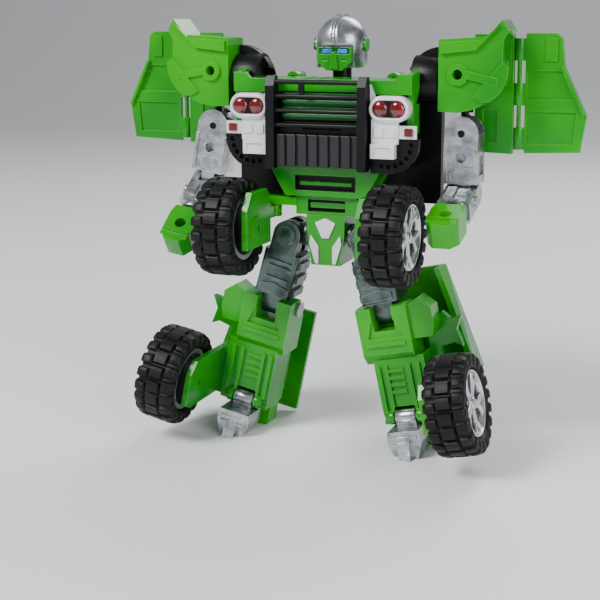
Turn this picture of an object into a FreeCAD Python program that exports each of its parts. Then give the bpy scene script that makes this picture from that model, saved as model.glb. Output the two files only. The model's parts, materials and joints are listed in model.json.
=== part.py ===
import FreeCAD, Part
import math
import os
from FreeCAD import Placement, Rotation, Vector

# Transforming robot car in its robot mode. Millimetres, +Z up, the robot faces -Y, +X is its left side.
# The origin is on the ground, below the middle of the box round the whole robot (see SHIFT_Y).

# ---- driving dimensions ----
SHIFT_Y = 22.35            # the robot is modelled round its hips, then moved by this along Y
FIT = 0.05                 # radial running clearance of every pin in its bore
GAP = 0.4                  # clearance between neighbouring moving bodies
SHEET = 2.4                # thickness of the moulded panels

# chest, the front end of the car
CHEST_HALF = 36.0          # half width of the black core
CHEST_FRONT = -22.0
CHEST_BACK = -3.0
CHEST_LOW = 117.0
CHEST_TOP = 150.0
GUARD_HALF = 21.5          # half width of the grille guard
GUARD_FRONT = -31.0
GUARD_TOP = 154.0
LAMP_X = 30.1
LAMP_Z = 141.5
LENS_R = 2.9
LENS_PITCH = 7.0           # between the two lenses of a pod
BEZEL_WALL = 2.3           # bezel outside the lens edge, above and below
SKID_HALF = 17.4
BUMPER_R = 12.7            # radius of the rounded bumper end
BUMPER_CENTRE = (29.0, 128.1)

# head
NECK_R = 4.0
HEAD_R = 10.8
HEAD_Z = 167.0

# shoulders, wings and arms
SHOULDER_Y = -2.0
SHOULDER_Z = 152.0
SHOULDER_PIN_R = 4.0
ARM_X = 55.0
BALL_Z = 131.0
BALL_R = 3.4
UPPER_ARM = 25.0           # ball to elbow
ARM_WIDTH = 14.0
ARM_DEPTH = 12.0
ELBOW_PIN_R = 2.0
FOREARM = 19.0             # elbow to wrist
WRIST_R = 3.0
FIST_LENGTH = 18.0
GRIP_R = 2.5               # bore through the fist for accessories
PEG_HOLE_R = 2.1           # bore in the front of the shoulder
PEG_HOLE_DEPTH = 7.0
WING_HINGE_X = 75.0
WING_Y = 4.0
WING_TOP = 171.0
WING_LOW = 122.5
HINGE_PIN_R = 0.9
HINGE_R = 2.0

# hips and legs
HIP_X = 17.0
HIP_Y = -12.0
HIP_Z = 87.0
HIP_PIN_R = 1.8
THIGH = 32.2               # hip pivot to knee pivot
THIGH_LEAN = 15.5
THIGH_HALF = 8.0
KNEE_PIN_R = 2.0
SHIN_LEAN = 12.0
ANKLE_Z = -43.0            # below the knee pivot, along the shin
ANKLE_PIN_R = 1.5
CALF_TRAVEL = 20.0         # the left panel stands at the top of its travel
KNEE_HEIGHT = 55.971       # knee pivot above the ground

# wheels
TYRE_R = 20.5
TYRE_WIDTH = 18.0
RIM_R = 13.6
AXLE_R = 1.6
FRONT_WHEEL = (35.2, -37.0, 92.6)
BRACKET_HINGE = (24.0, -15.0)
REAR_WHEEL = (29.8, -25.0, -35.9)   # in the shin's own frame

POSE = {
    "left": {"raise": 0.0, "elbow": 72.0, "calf": CALF_TRAVEL},
    "right": {"raise": 10.0, "elbow": 48.0, "calf": 0.0},
}
SIDES = ("left", "right")
REACH = 400.0              # longer than the whole robot, for cutting it off at the ground
X_AXIS = Vector(1, 0, 0)
Y_AXIS = Vector(0, 1, 0)
Z_AXIS = Vector(0, 0, 1)


# ---- small helpers ----
def block(x0, x1, y0, y1, z0, z1):
    return Part.makeBox(x1 - x0, y1 - y0, z1 - z0, Vector(x0, y0, z0))


def rod(radius, start, axis, length):
    return Part.makeCylinder(radius, length, Vector(*start), axis)


def front_plate(points, y0, y1):
    """A flat outline of (x, z) points, y0 to y1 thick."""
    face = Part.Face(Part.makePolygon([Vector(x, y0, z) for x, z in points + points[:1]]))
    return face.extrude(Vector(0, y1 - y0, 0))


def side_plate(points, x0, x1):
    """A flat outline of (y, z) points, x0 to x1 thick."""
    face = Part.Face(Part.makePolygon([Vector(x0, y, z) for y, z in points + points[:1]]))
    return face.extrude(Vector(x1 - x0, 0, 0))


def arc_points(centre, radius, start, end, count):
    step = (end - start) / (count - 1)
    turns = [math.radians(start + step * i) for i in range(count)]
    return [(centre[0] + radius * math.cos(t), centre[1] + radius * math.sin(t)) for t in turns]


def fuse(*shapes):
    return shapes[0].fuse(list(shapes[1:])).removeSplitter()


def both(make):
    """The same shape on the left and, mirrored, on the right."""
    return [make, make.mirror(Vector(0, 0, 0), X_AXIS)]


def soften(shape, radius, axis):
    """Rounds the straight outer edges that run along an axis."""
    edges = []
    for edge in shape.Edges:
        if edge.Curve.TypeId == "Part::GeomLine" and abs(edge.Curve.Direction.dot(axis)) > 0.999:
            edges.append(edge)
    return shape.makeFillet(radius, edges)


def turn(centre, axis, angle):
    return Placement(Vector(0, 0, 0), Rotation(axis, angle), Vector(*centre))


def move(x, y, z):
    return Placement(Vector(x, y, z), Rotation())


def to_side(shape, side, placement=None):
    """Places a left-hand shape, and mirrors it for the right-hand side."""
    placed = shape.copy()
    if placement is not None:
        placed.Placement = placement.multiply(placed.Placement)
    if side == "right":
        placed = placed.mirror(Vector(0, 0, 0), X_AXIS)
    return placed


# ---- where each moving frame stands, on the left side ----
def arm_frame(side):
    return move(ARM_X, HIP_Y + 8.0, BALL_Z).multiply(turn((0, 0, 0), Y_AXIS, -POSE[side]["raise"]))


def forearm_frame(side):
    elbow = move(0, 0, -UPPER_ARM).multiply(turn((0, 0, 0), X_AXIS, -POSE[side]["elbow"]))
    return arm_frame(side).multiply(elbow)


def thigh_frame():
    return move(HIP_X, HIP_Y, HIP_Z).multiply(turn((0, 0, 0), Y_AXIS, -THIGH_LEAN))


def shin_frame():
    knee = thigh_frame().multVec(Vector(0, 0, -THIGH))
    return move(knee.x, knee.y, knee.z).multiply(turn((0, 0, 0), Y_AXIS, -SHIN_LEAN))


def ground_height():
    return HIP_Z - THIGH * math.cos(math.radians(THIGH_LEAN)) - KNEE_HEIGHT


def calf_frame(side):
    return shin_frame().multiply(move(0, 0, POSE[side]["calf"]))


# ---- torso ----
def make_chest_frame():
    core = block(-CHEST_HALF, CHEST_HALF, CHEST_FRONT, CHEST_BACK, CHEST_LOW, CHEST_TOP)
    plate = front_plate([(-45, 101), (45, 101), (45, 150), (-45, 150)], CHEST_BACK, 2.0)
    boss_r = SHOULDER_PIN_R + 6.0
    bosses = both(rod(boss_r, (34, SHOULDER_Y, SHOULDER_Z), X_AXIS, 11))
    ears = both(rod(15.0, (45, CHEST_BACK, SHOULDER_Z - 1.5), Y_AXIS, 2.0 - CHEST_BACK))
    outside = [block(45, 60, -20, 10, 100, 180), block(-60, -45, -20, 10, 100, 180)]
    neck = block(-9, 9, CHEST_BACK, 9, 141, 152)
    frame = fuse(core, plate, neck, *bosses, *ears)
    bores = both(rod(SHOULDER_PIN_R + FIT, (30, SHOULDER_Y, SHOULDER_Z), X_AXIS, 20))
    neck_bore = rod(NECK_R + FIT, (0, 2.0, 143), Z_AXIS, 20)
    head_room = rod(HEAD_R + 1.5, (0, 2.0, 152), Z_AXIS, 12)
    return frame.cut(outside + bores + [neck_bore, head_room])


def make_chest_shell():
    lip = block(-34, 34, CHEST_FRONT - 2, CHEST_BACK, CHEST_TOP, CHEST_TOP + 2.6)
    brow = block(-GUARD_HALF + 3, GUARD_HALF - 3, CHEST_FRONT - 2, CHEST_FRONT, 147.5, CHEST_TOP + 0.5)
    panel = front_plate([(22, 147), (38, 147), (38, 155), (33, 155), (31, 152.6), (22, 152.6)],
                        CHEST_FRONT - 2, CHEST_FRONT)
    flange_outline = [(-22, 139), (-22, 147), (-24, 147), (-24, 155), (-13, 156.5), (-13, 149), (-19, 141)]
    flange = side_plate(flange_outline, 36.2, 38.4)
    wall = block(CHEST_HALF, 38.4, CHEST_FRONT, -13, 131.2, 143)
    vent_cuts = [block(x, x + 3, CHEST_FRONT - 1.2, CHEST_BACK - 3, CHEST_TOP + 1.9, 153) for x in (-9, -3, 3)]
    shell = fuse(lip, brow, *both(panel), *both(flange), *both(wall))
    return shell.cut(vent_cuts + both(rod(SHOULDER_PIN_R + 6.2, (30, SHOULDER_Y, SHOULDER_Z), X_AXIS, 20)))


def make_back_cover():
    cover = block(-40, 40, 2.0, 6.5, 104, 141)
    cover = soften(cover, 2.0, Y_AXIS)
    recesses = both(block(4, 34, 5.3, 8, 121, 137))
    seam = block(-0.5, 0.5, 5.7, 8, 104, 141)
    louvres = [block(-20, 20, 5.3, 8, z, z + 1.2) for z in (108, 111, 114)]
    return cover.cut(recesses + [seam] + louvres)


def make_windscreen():
    return Part.makeCompound(both(block(4.4, 33.6, 5.3, 6.3, 121.4, 136.6)))


def make_grille():
    base = block(-16.5, 16.5, CHEST_FRONT - 1, CHEST_FRONT, 135.8, 147.4)
    ribs = [block(-16.5, 16.5, CHEST_FRONT - 3, CHEST_FRONT - 1, z, z + 1.6) for z in (137, 139.8, 142.6, 145.4)]
    return fuse(base, *ribs)


def make_guard():
    upright = side_plate([(GUARD_FRONT, 116.4), (GUARD_FRONT, 150), (GUARD_FRONT + 2, GUARD_TOP),
                          (GUARD_FRONT + 5, GUARD_TOP), (GUARD_FRONT + 5, 116.4)], 17.8, GUARD_HALF)
    feet = [block(17.8, GUARD_HALF, GUARD_FRONT + 4, CHEST_FRONT, z, z + 4) for z in (118, 140)]
    bars = []
    for z in (151.6, 145.8, 140.0, 134.2):
        bars.append(rod(0.95, (-18.5, GUARD_FRONT + 2.2, z), X_AXIS, 37))
    stub = block(-7.5, -5.3, GUARD_FRONT + 1.4, GUARD_FRONT + 3, 146, 151.4)
    return fuse(*both(upright), *both(feet[0]), *both(feet[1]), *bars, stub)


def make_bumper_beam():
    beam = block(-17.4, 17.4, CHEST_FRONT - 4, CHEST_FRONT, 130.6, 135.4)
    return beam.cut(block(-7, 9.5, CHEST_FRONT - 5, CHEST_FRONT - 2, 132.2, 134))


def make_skid_plate():
    plate = block(-SKID_HALF, SKID_HALF, CHEST_FRONT - 7, CHEST_FRONT, 117.2, 130.4)
    grooves = []
    for i in range(7):
        x = -SKID_HALF + 3.4 + i * 4.7
        grooves.append(block(x, x + 1.3, CHEST_FRONT - 8, CHEST_FRONT - 5.6, 116, 131))
    return plate.cut(grooves)


def make_bumper_end():
    x, z = BUMPER_CENTRE
    curve = arc_points(BUMPER_CENTRE, BUMPER_R, -90, 0, 13)
    end = front_plate([(GUARD_HALF + 0.2, z - BUMPER_R)] + curve + [(x + BUMPER_R, 129.6), (21.7, 129.6)],
                      CHEST_FRONT - 3, CHEST_FRONT)
    holes = []
    for hole_x, hole_z in arc_points(BUMPER_CENTRE, BUMPER_R - 2.9, -105, -4, 7):
        holes.append(rod(1.05, (hole_x, CHEST_FRONT - 4, hole_z), Y_AXIS, 2.6))
    return end.cut(holes)


LENS_X = (LAMP_X - LENS_PITCH / 2, LAMP_X + LENS_PITCH / 2)


def make_lamp_pod():
    front = CHEST_FRONT - 6
    half_high = LENS_R + BEZEL_WALL
    half_wide = LENS_PITCH / 2 + half_high - 0.6
    bezel = block(LAMP_X - half_wide, LAMP_X + half_wide, front, CHEST_FRONT, LAMP_Z - half_high, LAMP_Z + half_high)
    bezel = soften(bezel, half_high - 0.2, Y_AXIS)
    housing = block(22.6, 33.6, front + 1, CHEST_FRONT - 3.1, 127.6, 137.4)
    bosses = [block(x, x + 3.6, front + 0.4, front + 1, 130.4, 134) for x in (23.9, 28.9)]
    signal = block(33.6, 41.0, front + 2, CHEST_FRONT - 3.1, 129.8, 135.0)
    step = block(22.6, 32.6, front - 0.4, CHEST_FRONT - 3.1, 121.8, 127.6)
    step_cut = block(24, 31.2, front - 1, front + 0.2, 123, 126.2)
    fin = front_plate([(21.8, 144), (24.6, 144), (21.8, 151)], front + 1.6, front + 3.6)
    pod = fuse(bezel, housing, signal, step, fin, *bosses)
    lens_seats = [rod(LENS_R + FIT, (x, front - 1, LAMP_Z), Y_AXIS, 3.5) for x in LENS_X]
    signal_seat = block(36.2, 39.6, front + 1, front + 3, 130.8, 134)
    return pod.cut(lens_seats + [signal_seat, step_cut])


def make_lenses():
    lenses = []
    for x in LENS_X:
        lens = rod(LENS_R, (x, CHEST_FRONT - 5.4, LAMP_Z), Y_AXIS, 1.9)
        lenses += both(fuse(lens, Part.makeSphere(3.4, Vector(x, CHEST_FRONT - 3.8, LAMP_Z)).common(lens)))
    signals = both(block(36.25, 39.55, CHEST_FRONT - 4.95, CHEST_FRONT - 3.1, 130.85, 133.95))
    return Part.makeCompound(lenses + signals)


def make_roof_catches():
    tube = rod(3.0, (22.5, 2.0, 151.4), Y_AXIS, 9).cut(rod(1.5, (22.5, 1, 151.4), Y_AXIS, 7))
    foot = block(20.5, 24.5, 2.0, 11, 141, 149.4)
    tube = fuse(tube, foot.cut(rod(2.9, (22.5, 1, 151.4), Y_AXIS, 12)))
    return Part.makeCompound(both(tube))


def make_waist_plate():
    plate = front_plate([(-24.5, 116.4), (24.5, 116.4), (17.5, 103.8), (-17.5, 103.8)], -19.5, CHEST_BACK)
    plate = plate.cut(block(-40, 40, -15.5, CHEST_BACK - 5, 100, 120))
    plate = fuse(plate, block(-14, 14, -17, CHEST_BACK, 103.8, 107))
    slot = block(-13.3, 13.3, -20, -17.2, 106.4, 112.6)
    rail = block(-11.5, 11.5, -18.6, -17.2, 108.4, 110.2)
    return fuse(plate.cut(slot), rail)


def make_pelvis():
    top = block(-13.5, 13.5, -17.5, CHEST_BACK, 96, 103.8)
    top = top.cut(block(-8.3, 8.3, -18, -14.5, 97.3, 102.4))
    bar = block(-7.6, 7.6, -16, -14.5, 98.8, 101)
    arms = block(13.5, 24.0, -18, -12, 99.5, 103)
    keel = front_plate([(-8.5, 96), (8.5, 96), (8.2, 88), (6.4, 75), (-6.4, 75), (-8.2, 88)], -18.5, -2)
    hinge = rod(3.0, (BRACKET_HINGE[0], BRACKET_HINGE[1], 99.5), Z_AXIS, 3.5)
    body = fuse(top, bar, keel, *both(arms), *both(hinge))
    hip_bores = both(rod(3.0 + FIT, (1.5, HIP_Y, HIP_Z), X_AXIS, 10))
    hinge_bores = both(rod(1.4 + FIT, (BRACKET_HINGE[0], BRACKET_HINGE[1], 90), Z_AXIS, 20))
    return body.cut(hip_bores + hinge_bores)


def make_pelvis_trim():
    chevron = front_plate([(-4.6, 93), (0, 95), (4.6, 93), (1.6, 86.5), (-1.6, 86.5)], -19.1, -18.5)
    stripe = front_plate([(6.6, 88), (7.2, 84), (4.6, 75.6), (3.0, 75.6), (3.0, 83)], -19.1, -18.5)
    return Part.makeCompound([chevron] + both(stripe))


def make_screws():
    heads = []
    for x, z in ((36.5, 107), (36.5, 138), (16, 107)):
        head = rod(1.7, (x, 6.5, z), Y_AXIS, 0.7).cut(block(x - 1.2, x + 1.2, 6.9, 8, z - 0.25, z + 0.25))
        heads += both(head.cut(block(x - 0.25, x + 0.25, 6.9, 8, z - 1.2, z + 1.2)))
    return Part.makeCompound(heads)


# ---- head ----
def make_helmet():
    dome = fuse(rod(HEAD_R, (0, 2.0, HEAD_Z - 10.5), Z_AXIS, 10.5),
                Part.makeSphere(HEAD_R, Vector(0, 2.0, HEAD_Z)).common(block(-20, 20, -20, 20, HEAD_Z, 190)))
    crest = rod(HEAD_R + 0.9, (-1.7, 2.0, HEAD_Z), X_AXIS, 3.4).common(block(-5, 5, -20, 8, HEAD_Z - 1, 190))
    grooves = [block(x, x + 0.5, -12, 3, HEAD_Z, 190).cut(rod(HEAD_R + 0.3, (-6, 2.0, HEAD_Z), X_AXIS, 12))
               for x in (-0.9, 0.4)]
    face_room = block(-7.6, 7.6, -12, -4.6, HEAD_Z - 12, HEAD_Z - 0.8)
    ears = both(rod(3.4, (HEAD_R - 1.8, 1.0, HEAD_Z - 1), X_AXIS, 1.4))
    socket = rod(NECK_R, (0, 2.0, HEAD_Z - 11), Z_AXIS, 5)
    pad_seats = both(rod(2.7, (HEAD_R - 0.4, 1.0, HEAD_Z - 1), X_AXIS, 3))
    return fuse(dome, crest, *ears).cut(grooves + pad_seats + [face_room, socket])


def make_face_plate():
    outline = [(-7.5, 165), (7.5, 165), (7.5, 159), (3.5, 155.4), (-3.5, 155.4), (-7.5, 159)]
    face = front_plate(outline, -8.2, -4.6)
    ridge = front_plate([(-0.9, 163), (0.9, 163), (1.8, 156), (-1.8, 156)], -9.4, -8.2)
    eye_slot = block(-6.6, 6.6, -9, -6.9, 162.2, 164.6)
    vents = both(block(3.2, 5.4, -9, -7.7, 159.4, 160.2))
    return fuse(face, ridge).cut([eye_slot] + vents)


def make_eyes():
    return Part.makeCompound(both(block(1.2, 5.6, -7.7, -6.9, 162.5, 164.3)))


def make_head_pads():
    return Part.makeCompound(both(rod(2.7, (HEAD_R - 0.4, 1.0, HEAD_Z - 1), X_AXIS, 1.3)))


def make_neck():
    return rod(NECK_R, (0, 2.0, 144), Z_AXIS, HEAD_Z - 6 - 144)


# ---- shoulders, wings and arms, as built on the left ----
def make_shoulder_shell():
    low = [(46, 140), (54, 139.6)] + arc_points((54, 158), 18.0, -85, 0, 9)
    outline = low + [(72, 168), (74.2, 172), (71.4, 176.4), (66, 169.8), (46, 168.6)]
    body = front_plate(outline, -13.0, 2.6)
    band = front_plate([(60, 146), (64, 144)] + arc_points((58, 158), 16.6, -55, 0, 6) + [(72, 160)], -13.8, -13)
    brow = front_plate([(47, 163), (61, 164.5), (70.6, 174.4), (64, 168.6), (47, 167.4)], -14.6, -13)
    boss = rod(4.2, (ARM_X - 1, -14.2, 154.8), Y_AXIS, 2)
    rib = front_plate([(56, 153.5), (70, 150.5), (70, 153.5), (57, 156.5)], -14.0, -13)
    inner_door = front_plate([(57, WING_LOW), (73.0, WING_LOW - 0.4), (73.0, 150), (57, 150)],
                             WING_Y, WING_Y + SHEET)
    top_door = front_plate([(57, 150), (73.0, 150), (73.0, WING_TOP - 0.5), (57, WING_TOP - 0.5)],
                           2.6, WING_Y + SHEET)
    window = block(60.4, 66.4, WING_Y - 1, WING_Y + 0.7, 126.5, 140)
    body = fuse(body, band, brow, boss, rib, inner_door, top_door)
    hollow = block(49.5, 62.5, -9.0, 1.4, 139, 147)
    peg_hole = rod(PEG_HOLE_R, (ARM_X - 1, -15, 154.8), Y_AXIS, PEG_HOLE_DEPTH + 0.8)
    pin_bore = rod(SHOULDER_PIN_R, (45, SHOULDER_Y, SHOULDER_Z), X_AXIS, 7)
    barrel_room = rod(HINGE_R + GAP, (WING_HINGE_X, WING_Y + 1.2, WING_LOW - 2), Z_AXIS, 60)
    return body.cut([window, hollow, peg_hole, pin_bore, barrel_room])


def make_shoulder_hub():
    return rod(SHOULDER_PIN_R, (35, SHOULDER_Y, SHOULDER_Z), X_AXIS, 17)


def make_ball_link():
    y = HIP_Y + 8.0
    ball = Part.makeSphere(BALL_R, Vector(ARM_X, y, BALL_Z))
    stem = rod(1.6, (ARM_X, y, BALL_Z + 2), Z_AXIS, 12)
    collar = rod(3.4, (ARM_X, y, 139.4), Z_AXIS, 7.6)
    pin = rod(1.5, (ARM_X, y - 5.6, BALL_Z), Y_AXIS, 11.2)
    return fuse(ball, stem, collar, pin)


def make_wing():
    outline = [(75, 171), (90, 171), (92.2, 169), (93.4, 158), (102.6, 138.4), (100.4, 123.6), (75, 122.5)]
    panel = front_plate(outline, WING_Y, WING_Y + SHEET)
    upper = front_plate([(78.4, 156), (92.6, 156), (97.4, 144.6), (78.4, 144.6)], WING_Y - 1, WING_Y + 0.7)
    lower = front_plate([(78.4, 139.6), (98.6, 139.6), (97.4, 126.6), (78.4, 126.6)], WING_Y - 1, WING_Y + 0.7)
    rib = block(86, 90.4, WING_Y - 0.7, WING_Y, 160, 169)
    lip = front_plate([(92.0, 158), (93.4, 158), (102.6, 138.4), (101.2, 138.4)], WING_Y - 1.4, WING_Y)
    barrels = [rod(HINGE_R, (WING_HINGE_X, WING_Y + 1.2, z), Z_AXIS, 9) for z in (124, 142, 160)]
    pin = rod(HINGE_PIN_R, (WING_HINGE_X, WING_Y + 1.2, 124), Z_AXIS, 45)
    outer_windows = [front_plate([(80, 156), (91.8, 156), (96, 146), (80, 146)], WING_Y + 1.9, 10),
                     front_plate([(80, 139), (97.4, 139), (96.4, 128), (80, 128)], WING_Y + 1.9, 10)]
    knuckle_z = (124, 142, 160)
    strip = block(74, 77.6, 0, 10, 120, 175)
    for z in knuckle_z:
        strip = strip.cut(block(73, 78, -1, 11, z, z + 9))
    cuts = [upper, lower, strip] + outer_windows
    return fuse(panel.cut(cuts), rib, lip, pin, *barrels)


def make_upper_arm():
    half = ARM_WIDTH / 2
    deep = ARM_DEPTH / 2
    arm = block(-half, half, -deep, deep, -UPPER_ARM + 4.6, 0)
    head = rod(half, (0, -deep, 0), Y_AXIS, ARM_DEPTH).common(block(-8, 8, -8, 8, 0, 8))
    tongue = fuse(block(-3, 3, -4, 4, -UPPER_ARM, -UPPER_ARM + 5), rod(4.0, (-3, 0, -UPPER_ARM), X_AXIS, 6))
    cheek_cut = block(half - 0.9, half + 1, -4, 4, -17, -9)
    ball_room = rod(BALL_R + 0.5, (0, -deep - 1, 0), Y_AXIS, ARM_DEPTH + 2)
    slot = block(-BALL_R, 8, -4.4, 4.4, 0, 9)
    hole = rod(2.2, (0, -deep - 1, -9.6), Y_AXIS, 4)
    relief = [block(-5.6, 5.6, -deep - 1, -deep + 0.5, -13.8, -13.0),
              block(-4.4, 4.4, -deep - 1, -deep + 0.5, -19, -16)]
    rims = [block(x, x + 1.4, -deep - 0.6, -deep, -19.5, -4) for x in (-half, half - 1.4)]
    arm = fuse(arm, head, tongue, *rims).cut([cheek_cut, slot, hole] + relief)
    arm = arm.cut([ball_room.common(block(-9, 9, -4.4, 4.4, -9, 9)), rod(1.5 + FIT, (0, -7, 0), Y_AXIS, 14)])
    return arm.cut(rod(ELBOW_PIN_R + FIT, (-9, 0, -UPPER_ARM), X_AXIS, 18))


def make_forearm():
    half = 6.6
    cheek = fuse(rod(4.2, (-half, 0, 0), X_AXIS, 3.2), block(-half, -half + 3.2, -4.2, 4.2, -6, 0))
    cheeks = [cheek, cheek.mirror(Vector(0, 0, 0), X_AXIS)]
    body = block(-half, half, -5.2, 5.2, -FOREARM + 2, -5)
    body = soften(body, 1.6, Z_AXIS)
    cuff = rod(5.6, (0, 0, -FOREARM), Z_AXIS, 3)
    knob = rod(2.2, (half - 1, -1.5, -9), X_AXIS, 2.4)
    plates = [block(-4.4, -0.6, -6.2, -5.2, -15, -6.4), block(0.8, 4.6, -5.9, -5.2, -13, -7.4)]
    pin = rod(ELBOW_PIN_R, (-half, 0, 0), X_AXIS, 2 * half)
    body = fuse(body, cuff, knob, pin, *cheeks, *plates)
    tongue_room = rod(4.6, (-3.3, 0, 0), X_AXIS, 6.6).cut(rod(ELBOW_PIN_R, (-4, 0, 0), X_AXIS, 8))
    return body.cut([tongue_room, rod(WRIST_R + FIT, (0, 0, -FOREARM - 1), Z_AXIS, 6)])


def make_fist():
    top = -FOREARM - 1.2
    low = top - FIST_LENGTH
    block_outline = [(-6.0, top), (6.0, top), (6.8, top - 4), (6.4, low + 4), (3.6, low), (-3.6, low), (-6.4, low + 4),
                     (-6.8, top - 4)]
    fist = front_plate(block_outline, -5.2, 5.2)
    fist = soften(fist, 1.0, Y_AXIS)
    peg = rod(WRIST_R, (0, 0, top - 0.5), Z_AXIS, 5.5)
    knuckles = [block(-6.0, 6.0, -5.8, -5.2, top - 14 - 2.4 * i, top - 12.4 - 2.4 * i) for i in range(2)]
    thumb = block(-7.4, -6.2, -4, 1, top - 11, top - 5)
    grip = rod(GRIP_R, (0, -10, top - 8.5), Y_AXIS, 20)
    return fuse(fist, peg, thumb, *knuckles).cut(grip)


# ---- hips and legs, as built on the left ----
def make_wheel_bracket():
    x = FRONT_WHEEL[0] - TYRE_WIDTH / 2 - 1.0 - SHEET
    y, z = FRONT_WHEEL[1], FRONT_WHEEL[2]
    plate = side_plate([(y - 10, z - 8), (y - 10, z + 8), (y - 5, z + 15), (y + 10.0, z + 15),
                        (y + 14, z + 11), (y + 14, z - 8)], x, x + SHEET)
    hx, hy = BRACKET_HINGE
    arm = block(x, x + SHEET, y + 13, hy, 94.3, 99.1)
    arm = fuse(arm, rod(2.9, (hx, hy, 94.3), Z_AXIS, 4.8))
    pin = rod(1.4, (hx, hy, 95), Z_AXIS, 8)
    rim = side_plate(arc_points((y, z), 5.0, 0, 330, 12), x - 0.8, x + 0.1)
    return fuse(plate, arm, pin, rim).cut(rod(AXLE_R + FIT, (x - 2, y, z), X_AXIS, 6))


def make_hip_joint():
    shaft = rod(3.0, (2, HIP_Y, HIP_Z), X_AXIS, 8.5)
    flange = rod(5.2, (9.0, HIP_Y, HIP_Z), X_AXIS, 1.4)
    tongue = fuse(block(9.6, HIP_X, HIP_Y - 2, HIP_Y + 2, HIP_Z - 4.6, HIP_Z + 4.6),
                  rod(4.6, (HIP_X, HIP_Y - 2, HIP_Z), Y_AXIS, 4))
    return fuse(shaft, flange, tongue).cut(rod(HIP_PIN_R + FIT, (HIP_X, HIP_Y - 4, HIP_Z), Y_AXIS, 8))


def make_thigh():
    low = -THIGH + 5.0
    cheeks = [fuse(rod(6.0, (0, y, 0), Y_AXIS, 5.4), block(-6, 6, y, y + 5.4, -8, 0)) for y in (-7.8, 2.4)]
    body = block(-THIGH_HALF, THIGH_HALF, -7.8, 7.8, low, -8)
    body = soften(body, 1.2, Z_AXIS)
    neck = block(-6, 6, -7.8, 7.8, -9, -6.8)
    disc = rod(4.0, (0, -9.0, 0), Y_AXIS, 1.3)
    pin = rod(HIP_PIN_R, (0, -7.8, 0), Y_AXIS, 15.6)
    knee_turn = THIGH_LEAN - SHIN_LEAN      # the knee pin lies across the shin, not across the thigh
    knuckle = rod(5.0, (-4.1, 0, -THIGH), X_AXIS, 8.2)
    knuckle.rotate(Vector(0, 0, -THIGH), Y_AXIS, knee_turn)
    knee_bore = rod(KNEE_PIN_R + FIT, (-12, 0, -THIGH), X_AXIS, 24)
    knee_bore.rotate(Vector(0, 0, -THIGH), Y_AXIS, knee_turn)
    tongue = fuse(block(-4.0, 4.0, -5, 5, -THIGH, low + 1), knuckle)
    ridges = [block(-5.5, 4.5, -8.7, -7.8, z, z + 0.9) for z in (-12.5, -15, -20)]
    ridges.append(front_plate([(-7, -26), (6, -26), (6, -23), (0, -21.6), (-7, -23)], -8.6, -7.8))
    steps = [block(-THIGH_HALF - 1.2, -THIGH_HALF, -5, 5, z, z + 3.2) for z in (-14, -20, -26)]
    thigh = fuse(body, neck, disc, pin, tongue, *cheeks, *ridges, *steps)
    return thigh.cut(knee_bore)


def make_shin():
    knee = side_plate([(-10, 3.6), (-6, 3.9), (1, 3.9), (4, 1), (8, -5), (8, -20), (-7, -20), (-10, -16)], -11, 11)
    thigh_room = block(-4.6, 4.6, -12, 12, -6.4, 8)
    recess = front_plate([(-7.6, -9), (7.6, -9), (5, -2), (-5, -2)], -11, -8.8)
    ledge = block(-8.4, 8.4, -10.9, -10, -12.4, -11)
    lobe = front_plate([(11, -11), (19.6, -11), (21, -6), (21, 1), (16, 5.5), (11, 3)], -8, 2)
    body = block(-8, 14, -8, 10, -46, -18)
    ribs = [block(x, x + 1.4, -9.2, -8, -41, -21) for x in (-6.8, -3.4, 6.5, 10.5)]
    bars = [block(-2, 4.5, -8.9, -8, z, z + 1.2) for z in (-24, -27, -30, -33)]
    heel = block(-7, 12, 0.5, 10, -64, -44)
    web = block(13, 18.2, -5, 6, -46, -24)
    x = REAR_WHEEL[0] - TYRE_WIDTH / 2 - 1.0 - SHEET
    y, z = REAR_WHEEL[1], REAR_WHEEL[2]
    plate = side_plate([(y - 10, z - 8), (y - 10, z + 6), (y - 6, z + 11), (y + 30, z + 11), (y + 30, z - 10),
                        (y - 6, z - 10)], x, x + SHEET)
    lugs = [fuse(rod(3.0, (lug_x, -8.6, ANKLE_Z), X_AXIS, 2.6),
                 block(lug_x, lug_x + 2.6, -8.6, 2, ANKLE_Z - 3, ANKLE_Z + 3)) for lug_x in (-5.4, 7.2)]
    rail = fuse(block(1, 5, 10, 18.5, -46, -19), block(-1.6, 7.6, 18.5, 20.3, -46, -19))
    shin = fuse(knee, lobe, body, heel, web, plate, rail, ledge, *ribs, *bars, *lugs)
    knee_bore = rod(KNEE_PIN_R, (-20, 0, 0), X_AXIS, 40)
    ankle_bore = rod(ANKLE_PIN_R + FIT, (-8, -8.6, ANKLE_Z), X_AXIS, 20)
    axle_bore = rod(AXLE_R + FIT, (x - 2, y, z), X_AXIS, 6)
    toe_room = block(-2.4, 6.8, -12, -3, ANKLE_Z - 4, ANKLE_Z + 4.2)
    return shin.cut([thigh_room, recess, knee_bore, ankle_bore, axle_bore, toe_room])


def make_knee_pin():
    pin = rod(KNEE_PIN_R, (-12, 0, 0), X_AXIS, 22.8)
    cap = rod(3.4, (-12.2, 0, 0), X_AXIS, 1.1)
    return fuse(pin, cap)


def make_fender_bracket():
    outline = [(14.5, -14), (19, -18), (25, -17), (28.5, -19), (27, -11.5), (30, -6), (25, -6.4), (22, -3), (18, -8)]
    return fuse(front_plate(outline, 2.2, 5.2), block(14.0, 19, 2.2, 5.2, -23, -13))


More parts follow.
